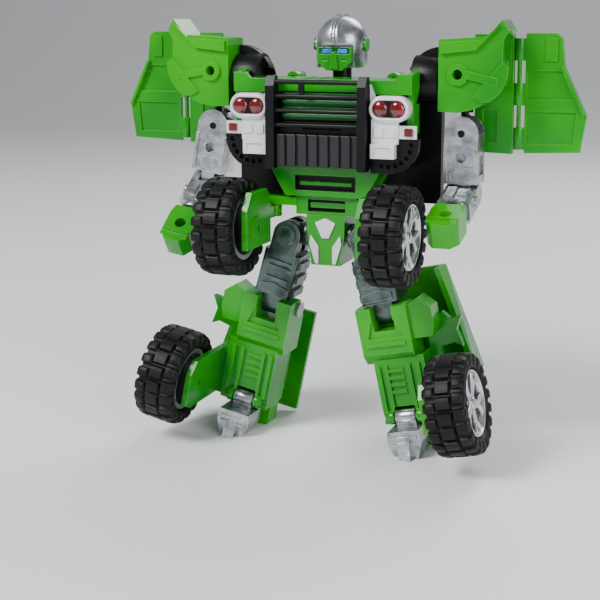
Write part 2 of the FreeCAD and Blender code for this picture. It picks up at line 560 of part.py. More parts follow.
def make_toe():
    hinge = fuse(rod(3.0, (-2.0, -8.6, ANKLE_Z), X_AXIS, 8.4), block(-2.0, 6.4, -11.0, -6.2, ANKLE_Z - 5, ANKLE_Z))
    pin = rod(ANKLE_PIN_R, (-5.4, -8.6, ANKLE_Z), X_AXIS, 15.2)
    sole = front_plate([(-4.6, ANKLE_Z - 3.9), (9.0, ANKLE_Z - 3.9), (9.4, ANKLE_Z - 9), (5, -64), (-0.6, -64),
                        (-5.0, ANKLE_Z - 9)], -18, -5.2)
    tip = side_plate([(-18, ANKLE_Z - 6), (-18, -64), (-21, -64), (-22, -58)], -0.2, 4.6)
    bars = [block(-3.6, 8.0, -18.8, -18, z, z + 0.9) for z in (-50, -52.5)]
    return fuse(hinge, pin, sole, tip, *bars)


def make_calf_panel():
    outline = [(-12, -7), (20.4, -7), (28.6, -53), (24, -53.6), (-12, -53.6)]
    main = front_plate(outline, 21.4, 21.4 + SHEET)
    lip_outline = [(19.0, -7), (21.4, -7), (29.6, -53), (27.2, -53)]
    lip = front_plate(lip_outline, 12.6, 21.4 + SHEET)
    guides = [block(-4.6, -2.0, 15.4, 21.4, -46, -19), block(8.0, 10.6, 15.4, 21.4, -46, -19)]
    hooks = [block(-4.6, 0.6, 15.4, 18.1, -46, -19), block(5.4, 10.6, 15.4, 18.1, -46, -19)]
    roof_slot = block(-6, 16, 21.4 + SHEET - 0.5, 30, -18, -16.4)
    seam = block(-12, 26, 21.4 + SHEET - 0.5, 30, -34, -33.4)
    return fuse(main, lip, *guides, *hooks).cut([roof_slot, seam])


# ---- wheels, centred on their own axle, outer side towards +X ----
def make_tyre():
    half = TYRE_WIDTH / 2
    profile = [Vector(-half, 0, RIM_R), Vector(-half, 0, TYRE_R - 2.6), Vector(-half + 2.2, 0, TYRE_R),
               Vector(half - 2.2, 0, TYRE_R), Vector(half, 0, TYRE_R - 2.6), Vector(half, 0, RIM_R)]
    ring = Part.Face(Part.makePolygon(profile + profile[:1])).revolve(Vector(0, 0, 0), X_AXIS, 360)
    cuts = []
    for i in range(16):
        for side in (0, 1):
            cut = block(0.4, half + 1, -1.5, 1.5, TYRE_R - 1.5, TYRE_R + 2)
            cut.rotate(Vector(0, 0, 0), Z_AXIS, 180 * side)
            cut.rotate(Vector(0, 0, 0), X_AXIS, 22.5 * i + 11.25 * side)
            cuts.append(cut)
    return ring.cut(cuts)


def make_rim(bore_length):
    half = TYRE_WIDTH / 2
    barrel = rod(RIM_R, (-half, 0, 0), X_AXIS, TYRE_WIDTH).cut(rod(RIM_R - 1.2, (-half - 1, 0, 0), X_AXIS, 25))
    disc = rod(RIM_R - 0.6, (half - 7, 0, 0), X_AXIS, 1.4)
    hub = rod(3.4, (half - 7, 0, 0), X_AXIS, 5.2)
    axle = rod(AXLE_R, (-half - bore_length, 0, 0), X_AXIS, TYRE_WIDTH)
    washer = rod(3.0, (-half - 0.6, 0, 0), X_AXIS, TYRE_WIDTH - 6)
    spokes = []
    for i in range(10):
        spoke = block(half - 5.6, half - 2.6, -0.75, 0.75, 2.4, RIM_R - 0.8)
        spoke.rotate(Vector(0, 0, 6.0), X_AXIS, 8 * (-1) ** i)
        spoke.rotate(Vector(0, 0, 0), X_AXIS, 72 * (i // 2) + 18 * (i % 2))
        spokes.append(spoke)
    return fuse(barrel, disc, hub, axle, washer, *spokes)


# ---- assembly ----
def export(name, shape):
    placed = shape.copy()
    placed.translate(Vector(0, SHIFT_Y, -ground_height()))
    if placed.ShapeType == "Compound" and len(placed.Solids) == 1:
        placed = placed.Solids[0]
    placed.exportStep("parts/" + name + ".step")


def on_the_ground(shape):
    ground = ground_height()
    return shape.common(block(-REACH, REACH, -REACH, REACH, ground, ground + REACH))


def build_torso():
    parts = {
        "chest_frame": make_chest_frame(), "chest_shell": make_chest_shell(), "back_cover": make_back_cover(),
        "windscreen_panes": make_windscreen(), "grille_insert": make_grille(), "grille_guard": make_guard(),
        "bumper_beam": make_bumper_beam(), "skid_plate": make_skid_plate(), "lamp_lenses": make_lenses(),
        "bumper_ends": Part.makeCompound(both(make_bumper_end())), "roof_catches": make_roof_catches(), "waist_plate": make_waist_plate(),
        "pelvis": make_pelvis(), "pelvis_trim": make_pelvis_trim(), "cover_screws": make_screws(),
        "helmet": make_helmet(), "face_plate": make_face_plate(), "eye_lenses": make_eyes(),
        "helmet_pads": make_head_pads(), "neck_post": make_neck(),
    }
    for side in SIDES:
        parts["lamp_pod_" + side] = to_side(make_lamp_pod(), side)
    return parts


def build_arms():
    parts = {}
    for side in SIDES:
        parts["shoulder_shell_" + side] = to_side(make_shoulder_shell(), side)
        parts["shoulder_hub_" + side] = to_side(make_shoulder_hub(), side)
        parts["ball_link_" + side] = to_side(make_ball_link(), side)
        parts["door_panel_" + side] = to_side(make_wing(), side)
        parts["upper_arm_" + side] = to_side(make_upper_arm(), side, arm_frame(side))
        parts["forearm_" + side] = to_side(make_forearm(), side, forearm_frame(side))
        parts["fist_" + side] = to_side(make_fist(), side, forearm_frame(side))
    return parts


def build_legs():
    parts = {}
    front_axle = move(*FRONT_WHEEL)
    rear_axle = shin_frame().multiply(move(*REAR_WHEEL))
    for side in SIDES:
        parts["wheel_bracket_" + side] = to_side(make_wheel_bracket(), side)
        parts["front_tyre_" + side] = to_side(make_tyre(), side, front_axle)
        parts["front_rim_" + side] = to_side(make_rim(4.0), side, front_axle)
        parts["hip_joint_" + side] = to_side(make_hip_joint(), side)
        parts["thigh_" + side] = to_side(make_thigh(), side, thigh_frame())
        parts["shin_shell_" + side] = on_the_ground(to_side(make_shin(), side, shin_frame()))
        parts["knee_pin_" + side] = to_side(make_knee_pin(), side, shin_frame())
        parts["fender_bracket_" + side] = to_side(make_fender_bracket(), side, shin_frame())
        parts["toe_" + side] = on_the_ground(to_side(make_toe(), side, shin_frame()))
        parts["calf_panel_" + side] = to_side(make_calf_panel(), side, calf_frame(side))
        parts["rear_tyre_" + side] = to_side(make_tyre(), side, rear_axle)
        parts["rear_rim_" + side] = to_side(make_rim(4.0), side, rear_axle)
    return parts


def build_all():
    parts = build_torso()
    parts.update(build_arms())
    parts.update(build_legs())
    return parts


os.makedirs("parts", exist_ok=True)
ASSEMBLY = build_all()
for node_name, node_shape in ASSEMBLY.items():
    export(node_name, node_shape)
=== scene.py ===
import json
import math

import bmesh
import bpy
import numpy as np
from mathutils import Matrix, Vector


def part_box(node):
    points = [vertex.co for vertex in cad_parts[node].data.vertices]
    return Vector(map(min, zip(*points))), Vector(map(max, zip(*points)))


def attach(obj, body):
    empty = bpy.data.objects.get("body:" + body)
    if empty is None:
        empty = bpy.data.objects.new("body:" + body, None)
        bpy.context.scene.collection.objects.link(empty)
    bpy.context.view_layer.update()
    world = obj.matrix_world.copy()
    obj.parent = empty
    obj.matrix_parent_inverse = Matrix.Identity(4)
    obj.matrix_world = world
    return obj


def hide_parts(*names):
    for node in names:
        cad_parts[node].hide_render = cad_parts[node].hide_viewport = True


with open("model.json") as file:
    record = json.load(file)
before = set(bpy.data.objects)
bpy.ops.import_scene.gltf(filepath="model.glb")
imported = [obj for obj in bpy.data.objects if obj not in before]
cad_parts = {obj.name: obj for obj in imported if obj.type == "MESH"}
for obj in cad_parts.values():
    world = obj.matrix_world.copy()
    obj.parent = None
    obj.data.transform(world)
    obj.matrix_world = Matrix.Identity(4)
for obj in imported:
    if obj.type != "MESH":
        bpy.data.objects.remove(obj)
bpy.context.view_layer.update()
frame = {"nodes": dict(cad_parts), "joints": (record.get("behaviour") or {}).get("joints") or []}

bl_info = {
    "name": "Converting Robot",
    "version": (1, 0, 0),
    "blender": (4, 5, 0),
    "location": "View3D > Sidebar > Robot",
    "description": "Finishes, wheels, lamps, windows and stage of a green converting robot",
    "category": "Object",
}

JOINTS = {joint["name"]: joint for joint in frame["joints"]}
SIDES = ("left", "right")
SIGNS = {"left": 1.0, "right": -1.0}
MM = 0.001


def size_of(node, axis):
    """How long a node is along X, Y or Z (0, 1 or 2)."""
    low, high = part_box(node)
    return high[axis] - low[axis]


# wheels, all four alike; the front axles lie along X
TYRE_R = size_of("front_tyre_left", 2) / 2
TYRE_HALF = size_of("front_tyre_left", 0) / 2
BEAD_R = size_of("front_rim_left", 2) / 2
CROWN_CLEAR = 0.2 * MM     # the tread stays this far inside the tyre's own box
SIDE_CLEAR = 0.35 * MM
BEAD_CLEAR = 0.1 * MM
RIM_CLEAR = 0.2 * MM
FACE_SHARE = 0.80          # the rim's outer face, as a share of the tyre's half width
POLE = 0.0002 * MM         # so small a radius closes a revolved shape at its axis

# headlamps, just behind the front of their pods and below the top of their lenses
LAMP_X = (26.6 * MM, 33.6 * MM)
LAMP_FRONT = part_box("lamp_pod_left")[0][1] + 0.5 * MM
LAMP_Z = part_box("lamp_lenses")[1][2] - 2.9 * MM
LAMP_RADIUS = 3.2 * MM
LAMP_RISE = 1.5 * MM
# in millimetres: the recess's radii, and the bright rim's section as (radius, depth)
RECESS_RINGS = (0.01, 2.0, 3.35, 3.5)
LAMP_RIM = ((3.45, 0.0), (3.5, -0.42), (3.75, -0.6), (4.3, -0.6), (4.6, -0.42), (4.75, 0.0))

# each recess, in millimetres: its node, how deep its floor lies behind the node's front, half width, bottom
# and top of the slot, then half width, bottom and top of its rail
RECESSES = (("waist_plate", 2.3, 13.2, 106.5, 112.5, 11.7, 108.2, 110.4),
            ("pelvis", 4.0, 8.2, 97.4, 102.3, 7.7, 98.7, 101.1))
# painted shade: sizes of the black sheet laid into each recess
SHADE_SHEET_WALL = 0.35
SHADE_SHEET_RISE = 1.9
SHADE_SHEET_LIFT = 0.12         # how far the painted shade sheet stands off the recess's floor
SHADE_SHEET_SINK = 0.02

# door windows, just behind the wing's hinge: outlines in millimetres, from the top corner at the hinge
HINGE_Y = JOINTS["wing_fold_left"]["pos_m"][1]
WINDOW_FACE = HINGE_Y + 1.0 * MM
WINDOW_BACK = HINGE_Y + 0.55 * MM
WINDOW_ROUND = 1.6
WINDOW_EDGE = 0.12 * MM
UPPER_WINDOW = ((80.3, 155.7), (91.5, 155.7), (95.5, 146.3), (80.3, 146.3))
LOWER_WINDOW = ((80.3, 138.7), (97.1, 138.7), (96.1, 128.3), (80.3, 128.3))

# stage
CAMERA_TURN = 20.0
CAMERA_RISE = 9.5
CAMERA_DISTANCE = 0.52
CAMERA_TARGET = Vector((0.0, 0.01735, 0.092))
CAMERA_LENS = 73.3
CAMERA_SHIFT = (-0.061, -0.133)
LIGHT_TARGET = Vector((0.0, 0.0, 0.08))
# each light: name, place, width and power
LIGHTS = (("key", (-0.55, -0.75, 0.95), 0.45, 19.0),
          ("fill", (0.85, -0.55, 0.45), 0.7, 7.0),
          ("back", (0.15, 0.8, 0.85), 0.6, 7.0))
FLOOR_HALF = 6.0
FLOOR_FRONT = -4.0
FLOOR_BEND = 1.2           # where the floor starts to curve up, with a radius of 1 m
FLOOR_TOP = 5.0
FLOOR_DROP = 0.0002

MOULDED_EDGE = 0.35 * MM


# ---------------------------------------------------------------- settings
class RobotFinish(bpy.types.PropertyGroup):
    """Colours of the plastics, paints and lenses."""
    green: bpy.props.FloatVectorProperty(
        name="Green plastic", description="Colour of the glossy moulded shells",
        subtype="COLOR", size=3, min=0, max=1, default=(0.007, 0.33, 0.0))
    dark_green: bpy.props.FloatVectorProperty(
        name="Dark green plastic", description="Colour of the grille insert",
        subtype="COLOR", size=3, min=0, max=1, default=(0.003, 0.13, 0.02))
    black: bpy.props.FloatVectorProperty(
        name="Black plastic", description="Colour of the frame and the grille guard",
        subtype="COLOR", size=3, min=0, max=1, default=(0.0025, 0.0025, 0.003))
    silver: bpy.props.FloatVectorProperty(
        name="Plated silver", description="Colour of the plated arms, helmet and toes",
        subtype="COLOR", size=3, min=0, max=1, default=(0.50, 0.52, 0.55))
    red: bpy.props.FloatVectorProperty(
        name="Red lens", description="Colour of the lamp lenses",
        subtype="COLOR", size=3, min=0, max=1, default=(0.13, 0.0008, 0.002))


class RobotWheels(bpy.types.PropertyGroup):
    """Sizes of the tyre tread and the spokes."""
    tread_depth: bpy.props.FloatProperty(
        name="Tread depth", description="How deep the tread grooves are",
        subtype="DISTANCE", unit="LENGTH", default=0.0015)
    lugs: bpy.props.IntProperty(
        name="Lugs", description="Tread blocks round the tyre", default=20, min=8, max=40)
    spokes: bpy.props.IntProperty(
        name="Spokes", description="Y-shaped spokes in a rim", default=5, min=3, max=9)


# ---------------------------------------------------------------- mesh helpers
def grid_mesh(points, wrap_u=False, wrap_v=False, flip=False):
    """Quads over a grid of points[u, v]; u and v may close on themselves. Returns (points, faces)."""
    rows, columns = points.shape[:2]
    u = np.arange(rows if wrap_u else rows - 1)
    v = np.arange(columns if wrap_v else columns - 1)
    uu, vv = np.meshgrid(u, v, indexing="ij")
    next_u = (uu + 1) % rows
    next_v = (vv + 1) % columns
    quads = np.stack([uu * columns + vv, next_u * columns + vv, next_u * columns + next_v,
                      uu * columns + next_v], axis=-1).reshape(-1, 4)
    if flip:
        quads = quads[:, ::-1]
    return points.reshape(-1, 3), quads


def joined(parts):
    """Stacks several (points, faces) pairs into one."""
    points, faces, offset = [], [], 0
    for part_points, part_faces in parts:
        points.append(part_points)
        faces.append(part_faces + offset)
        offset += len(part_points)
    return np.concatenate(points), np.concatenate(faces)


def make_piece(name, parts, body, slot, replaces=(), smooth_angle=35.0):
    """Turns (points, faces) pairs into an object that rides on a body and has a slot's finish."""
    points, faces = joined(parts)
    mesh = bpy.data.meshes.new(name)
    mesh.from_pydata(points.tolist(), [], faces.tolist())
    mesh.update()
    work = bmesh.new()
    work.from_mesh(mesh)
    bmesh.ops.remove_doubles(work, verts=work.verts, dist=1e-6)
    bmesh.ops.recalc_face_normals(work, faces=work.faces)
    work.to_mesh(mesh)
    work.free()
    mesh.shade_smooth()
    mesh.set_sharp_from_angle(angle=math.radians(smooth_angle))
    piece = bpy.data.objects.new(name, mesh)
    bpy.context.scene.collection.objects.link(piece)
    mesh.materials.append(FINISHES[slot])
    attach(piece, body)
    if replaces:
        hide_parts(*replaces)
    return piece


def axle_frame(joint):
    """Rows are the joint's axis and two directions across it; with its position."""
    axis = np.array(joint["axis"], float)
    axis /= np.linalg.norm(axis)
    up = np.array([0.0, 0.0, 1.0])
    across = np.cross(axis, up)
    across /= np.linalg.norm(across)
    return np.array([axis, across, np.cross(axis, across)]), np.array(joint["pos_m"], float)


def seated(parts, turn, place):
    """(points, faces) pairs in a joint's frame (along its axis, across, up) moved to the joint."""
    return [(points @ turn + place, faces) for points, faces in parts]


def revolved(profile, steps, start=0.0):
    """A profile of (x along axis, radius) carried round the axis: (x, r cos t, r sin t)."""
    angle = start + np.linspace(0, 2 * math.pi, steps, endpoint=False)
    x, r = np.array(profile).T
    x, r = np.tile(x, (steps, 1)), np.tile(r, (steps, 1))
    return np.stack([x, r * np.cos(angle)[:, None], r * np.sin(angle)[:, None]], axis=-1)


def capped(points):
    """Closes both ends of a grid of rings (ring, place on ring) onto the middle of each end ring."""
    first = np.repeat(points[:1].mean(axis=1, keepdims=True), points.shape[1], axis=1)
    last = np.repeat(points[-1:].mean(axis=1, keepdims=True), points.shape[1], axis=1)
    return np.concatenate([first, points, last])


def bar(start, end, across, width, depth, taper=1.0, steps=6, ring=20, power=4.0):
    """A rounded bar from start to end: rings of the superellipse |a|^p + |b|^p = 1, tapering as they go."""
    start, end = np.array(start, float), np.array(end, float)
    along = (end - start) / np.linalg.norm(end - start)
    side = np.array(across, float)
    side -= along * (side @ along)
    side /= np.linalg.norm(side)
    other = np.cross(along, side)
    t = np.linspace(0, 2 * math.pi, ring, endpoint=False)
    a = np.sign(np.cos(t)) * np.abs(np.cos(t)) ** (2 / power) / 2
    b = np.sign(np.sin(t)) * np.abs(np.sin(t)) ** (2 / power) / 2
    s = np.array([0, 0.02, 0.06] + list(np.linspace(0.12, 0.88, steps)) + [0.94, 0.98, 1.0])
    swell = np.array([0.84, 0.95, 1.0] + [1.0] * steps + [1.0, 0.95, 0.84])
    size = swell * (1 + (taper - 1) * s)
    rings = (start + (end - start) * s[:, None, None]
             + side * (a[None, :, None] * width * size[:, None, None])
             + other * (b[None, :, None] * depth * size[:, None, None]))
    return grid_mesh(capped(rings), wrap_v=True)


def dome(centre, axis, radius, height, rings=10, steps=36, power=2.0):
    """A lens dome: height falls off as (1 - (r / radius)^power)^0.5 round its axis."""
    axis = np.array(axis, float)
    side = np.cross(axis, [0.0, 0.0, 1.0])
    side = side / np.linalg.norm(side)
    other = np.cross(axis, side)
    rho = np.sin(np.linspace(0, math.pi / 2, rings))
    t = np.linspace(0, 2 * math.pi, steps, endpoint=False)
    rise = np.sqrt(np.clip(1 - rho ** power, 0, 1))
    spokes = side * np.cos(t)[:, None] + other * np.sin(t)[:, None]
    points = radius * rho[:, None, None] * spokes + axis * (height * rise)[:, None, None]
    points = points + np.array(centre, float)
    base = np.repeat(np.array(centre, float)[None, None], steps, axis=1)
    return grid_mesh(np.concatenate([points, base]), wrap_v=True)


# ---------------------------------------------------------------- materials
class Signal:
    """A socket with Python arithmetic; each operation adds a Math node."""

    def __init__(self, finish, socket):
        self.finish = finish
        self.socket = socket

    def _math(self, operation, *values):
        made = self.finish.node("ShaderNodeMath", {"operation": operation}, list(values))
        return Signal(self.finish, made.outputs[0])

    def __add__(self, other):
        return self._math("ADD", self, other)

    def __radd__(self, other):
        return self._math("ADD", other, self)

    def __sub__(self, other):
        return self._math("SUBTRACT", self, other)

    def __rsub__(self, other):
        return self._math("SUBTRACT", other, self)

    def __mul__(self, other):
        return self._math("MULTIPLY", self, other)

    def __rmul__(self, other):
        return self._math("MULTIPLY", other, self)

    def clipped(self):
        return self._math("MINIMUM", self._math("MAXIMUM", self, 0.0), 1.0)

    def above(self, low, high):
        """A smooth step from 0 at low to 1 at high."""
        made = self.finish.node("ShaderNodeMapRange", {"interpolation_type": "SMOOTHSTEP"},
                                {"Value": self, "From Min": low, "From Max": high})
        return Signal(self.finish, made.outputs["Result"])


class Finish:
    """A Principled material and the nodes that feed it."""

    def __init__(self, name):
        self.material = bpy.data.materials.new(name)
        self.material.use_nodes = True
        self.tree = self.material.node_tree
        self.shader = self.tree.nodes["Principled BSDF"]
        self.place = self.node("ShaderNodeTexCoord").outputs["Object"]

    def node(self, kind, settings=None, values=None):
        made = self.tree.nodes.new(kind)
        for key, value in (settings or {}).items():
            setattr(made, key, value)
        pairs = enumerate(values) if isinstance(values, list) else (values or {}).items()
        for key, value in pairs:
            self.feed(made.inputs[key], value)
        return made

    def feed(self, socket, value):
        if isinstance(value, Signal):
            value = value.socket
        if isinstance(value, bpy.types.NodeSocket):
            self.tree.links.new(value, socket)
        elif isinstance(value, tuple) and len(value) == 3 and socket.type == "RGBA":
            socket.default_value = (*value, 1.0)
        else:
            socket.default_value = value

    def set(self, **values):
        for key, value in values.items():
            self.feed(self.shader.inputs[key.replace("_", " ")], value)

    def noise(self, scale, detail=3.0, roughness=0.5):
        values = {"Vector": self.place, "Scale": scale, "Detail": detail, "Roughness": roughness}
        made = self.node("ShaderNodeTexNoise", None, values)
        return Signal(self, made.outputs["Fac"])

    def flecks(self, scale):
        made = self.node("ShaderNodeTexVoronoi", None, {"Vector": self.place, "Scale": scale})
        return Signal(self, made.outputs["Distance"])

    def edges(self, radius=0.45 * MM):
        """1 on the corners within a radius, where the rounded normal leaves the true one, else 0."""
        rounded = self.node("ShaderNodeBevel", {"samples": 4}, {"Radius": radius}).outputs["Normal"]
        true = self.node("ShaderNodeNewGeometry").outputs["Normal"]
        made = self.node("ShaderNodeVectorMath", {"operation": "DOT_PRODUCT"}, [rounded, true])
        return (1.0 - Signal(self, made.outputs["Value"])).above(0.015, 0.14)

    def mix(self, mask, first, second):
        made = self.node("ShaderNodeMix", {"data_type": "RGBA"})
        self.feed(made.inputs["Factor"], mask)
        self.feed(made.inputs[6], first)
        self.feed(made.inputs[7], second)
        return made.outputs[2]

    def bump(self, height, distance, strength=1.0):
        values = {"Height": height, "Distance": distance, "Strength": strength}
        made = self.node("ShaderNodeBump", None, values)
        self.set(Normal=made.outputs["Normal"])


def tinted(colour, factor):
    """A colour made lighter or darker by a factor."""
    return tuple(min(1.0, part * factor) for part in colour)


def moulded_finish(name, colour, roughness=0.2, coat=0.35, spread=0.2, edge_highlight=1.35, ior=1.5):
    """Moulded plastic: faint flow marks, sink marks, fine scuffs and edges painted paler, a painted highlight.
    """
    made = Finish(name)
    flow = made.noise(38.0, 4.0)
    scuffs = made.noise(420.0, 5.0, 0.7).above(0.6, 0.78)
    base = made.mix(flow.above(0.3, 0.7), tinted(colour, 1 - spread), tinted(colour, 1 + spread))
    # painted highlight: the edges are mixed towards a lighter copy of the colour
    base = made.mix(made.edges() * 0.6, base, tinted(colour, edge_highlight))
    made.set(Base_Color=base, Roughness=(roughness + flow * 0.07 + scuffs * 0.14).clipped(),
             Coat_Weight=coat, Coat_Roughness=0.08, IOR=ior)
    made.bump(made.noise(55.0, 2.0) * 0.8 + made.noise(900.0, 2.0) * 0.12, 0.00012)
    return made.material


def green_finish(name, colour):
    """Glossy green with painted light: patches of a darker, bluer green are painted shade, patches of a
    lighter, yellower green are painted highlights, and the edges carry a light yellow-green painted highlight.
    """
    made = Finish(name)
    flow = made.noise(26.0, 4.0)
    deep = (colour[0] * 0.3, colour[1] * 0.62, colour[2] + 0.006)
    painted_highlight_green = (colour[0] * 5.0, colour[1] * 1.2, colour[2])
    scuffs = made.noise(460.0, 5.0, 0.7).above(0.62, 0.8)
    # painted shade: broad patches of a darker, bluer copy of the green
    base = made.mix(flow.above(0.32, 0.68), deep, colour)
    # painted highlight: broad patches of a lighter, yellower copy of the green
    base = made.mix(made.noise(11.0, 2.0).above(0.42, 0.7) * 0.8, base, painted_highlight_green)
    # painted highlight on the edges: a light yellow-green
    base = made.mix(made.edges() * 0.65, base, (0.10, 0.60, 0.008))
    made.set(Base_Color=base, Roughness=(0.2 + flow * 0.06 + scuffs * 0.12).clipped(), Coat_Weight=0.12,
             Coat_Roughness=0.05, IOR=1.4)
    made.bump(made.noise(48.0, 2.0) + made.noise(1100.0, 2.0) * 0.08, 0.00014)
    return made.material


def plated_finish(name, colour, roughness=0.2, dark_reflection=0.45, edge_glint=0.9):
    """Vacuum-plated plastic: metallic and mottled; the mottle lays darker patches as painted reflections, and
    the edges get a bright painted highlight.
    """
    made = Finish(name)
    mottle = made.noise(150.0, 5.0, 0.6)
    # painted reflection: the mottle lays patches of a darker copy of the colour, standing in for dark
    # surroundings mirrored in the plating
    base = made.mix(mottle.above(0.42, 0.68), colour, tinted(colour, dark_reflection))
    # painted highlight: the edges are mixed towards a bright grey
    base = made.mix(made.edges(0.3 * MM) * 0.8, base, (edge_glint, edge_glint, edge_glint))
    made.set(Base_Color=base, Metallic=(0.78 + mottle * 0.2).clipped(),
             Roughness=(roughness + mottle * 0.16).clipped())
    made.bump(made.noise(240.0, 4.0) * 0.8 + made.noise(60.0, 2.0), 0.00022)
    return made.material


def rubber_finish(name):
    """Matt black rubber with faint dust, edges lightened to dark grey as a painted highlight, and a fine
    moulded grain.
    """
    made = Finish(name)
    dust = made.noise(90.0, 5.0, 0.65)
    base = made.mix(dust.above(0.5, 0.8), (0.002, 0.002, 0.0022), (0.009, 0.0088, 0.0085))
    # painted highlight: the edges are mixed towards a dark grey
    base = made.mix(made.edges(0.3 * MM) * 0.5, base, (0.028, 0.028, 0.03))
    made.set(Base_Color=base, Roughness=(0.4 + dust * 0.2).clipped(), IOR=1.35)
    made.bump(made.noise(1500.0, 3.0) * 0.5 + made.noise(300.0, 2.0), 0.0001)
    return made.material


def lens_finish(name, colour, painted_glow=0.0):
    """A tinted lens: deep colour, faintly clouded and pebbled under a clear coat; a glow, when given, is
    painted light.
    """
    made = Finish(name)
    cells = made.flecks(2200.0)
    base = made.mix(made.noise(160.0, 2.0).above(0.35, 0.7), tinted(colour, 0.6), tinted(colour, 1.5))
    made.set(Base_Color=base, Roughness=(0.05 + cells * 0.06).clipped(), Coat_Weight=0.9,
             Coat_Roughness=0.02)
    # painted light: a glow makes the lens shine like a lamp
    if painted_glow:
        made.set(Emission_Color=base, Emission_Strength=painted_glow)
    made.bump(cells, 0.00003, 0.4)
    return made.material


def build_finishes(settings):
    """One material for each of the record's slots."""
    green = tuple(settings.green)
    silver = tuple(settings.silver)
    return {
        "green": green_finish("glossy_green", green),
        "green_dark": moulded_finish("dark_green", tuple(settings.dark_green), 0.25),
        "green_face": green_finish("face_green", (green[0] * 1.5, green[1] * 1.05, green[2])),
        # the black plastic's edges get a strong painted highlight, nine times its colour
        "black": moulded_finish("black_plastic", tuple(settings.black), 0.36, 0.0, 0.3, 9.0, 1.33),
        "charcoal": moulded_finish("charcoal_plastic", (0.019, 0.0185, 0.022), 0.36, 0.0, 0.15, 2.6, 1.4),
        "white_paint": moulded_finish("pearl_paint", (0.7, 0.71, 0.74), 0.24, 0.4, 0.1, 1.35),
        "silver_plastic": plated_finish("plated_silver", silver),
        "gunmetal": plated_finish("gunmetal_plate", (0.10, 0.14, 0.13), 0.24, 0.35, 0.6),
        "steel": plated_finish("zinc_steel", (0.5, 0.5, 0.5), 0.3),
        "red_lens": lens_finish("red_lens", tuple(settings.red)),
        # painted light: the blue eye lenses glow, though they are no lamps
        "blue_lens": lens_finish("blue_lens", (0.004, 0.13, 0.42), 0.35),
        "dark_glass": moulded_finish("dark_pane", (0.012, 0.011, 0.012), 0.1, 0.8, 0.1, 1.5),
        "rubber": rubber_finish("tyre_rubber"),
        "rim_chrome": plated_finish("rim_chrome", (0.7, 0.71, 0.73), 0.12, 0.6, 0.95),
    }


FINISHES = {}


# ---------------------------------------------------------------- operators
class ROBOT_OT_finish(bpy.types.Operator):
    """Put a finish on every slot of every shown part and soften the moulded edges"""
    bl_idname = "robot.finish"
    bl_label = "Finish the parts"

    def execute(self, context):
        FINISHES.update(build_finishes(context.scene.robot_finish))
        for name, part in frame["nodes"].items():
            for index, slot in enumerate(part.material_slots):
                key = slot.material.name.split(".")[0] if slot.material else ""
                if key not in FINISHES:
                    raise RuntimeError(f"no finish for slot {index} of {name}: {key!r}")
                slot.material = FINISHES[key]
            soften(part, MOULDED_EDGE)
        return {"FINISHED"}


def soften(part, size):
    """Joins the loose triangles and rounds the hard edges of a part."""
    weld = part.modifiers.new("weld", "WELD")
    weld.merge_threshold = 1e-6
    bevel = part.modifiers.new("edges", "BEVEL")
    bevel.width = size
    bevel.segments = 2
    bevel.limit_method = "ANGLE"
    bevel.angle_limit = math.radians(35)
    bevel.use_clamp_overlap = True
    bevel.harden_normals = True


def evenly_spaced(x, r, count):
    """Points at even steps of length along a closed section."""
    length = np.concatenate([[0.0], np.cumsum(np.hypot(np.diff(x), np.diff(r)))])
    place = np.linspace(0, length[-1], count, endpoint=False)
    return np.interp(place, length, x), np.interp(place, length, r)


def smooth_step(value, sharpness):
    """Rises from 0 to 1 as the value passes through 0."""
    return 1 / (1 + np.exp(-value * sharpness))


# tread, across in shares of the half width and round in shares of a block's pitch
ROW_EDGE = 0.38
ROUND_GROOVE = 0.045
SHOULDER_GROOVE = 0.17
MIDDLE_GROOVE = 0.11
STAGGER = (0.75, 0.25)     # of the inner and the outer shoulder row, against the middle row
SIPE_SHARE = 0.3           # depth of the fine cuts, against the grooves
SIDE_START = 0.85
RING_RISE = 0.25 * MM
RINGS = ((0.55, 0.35 * MM), (1.0, 0.25 * MM))    # height up the side wall, half width


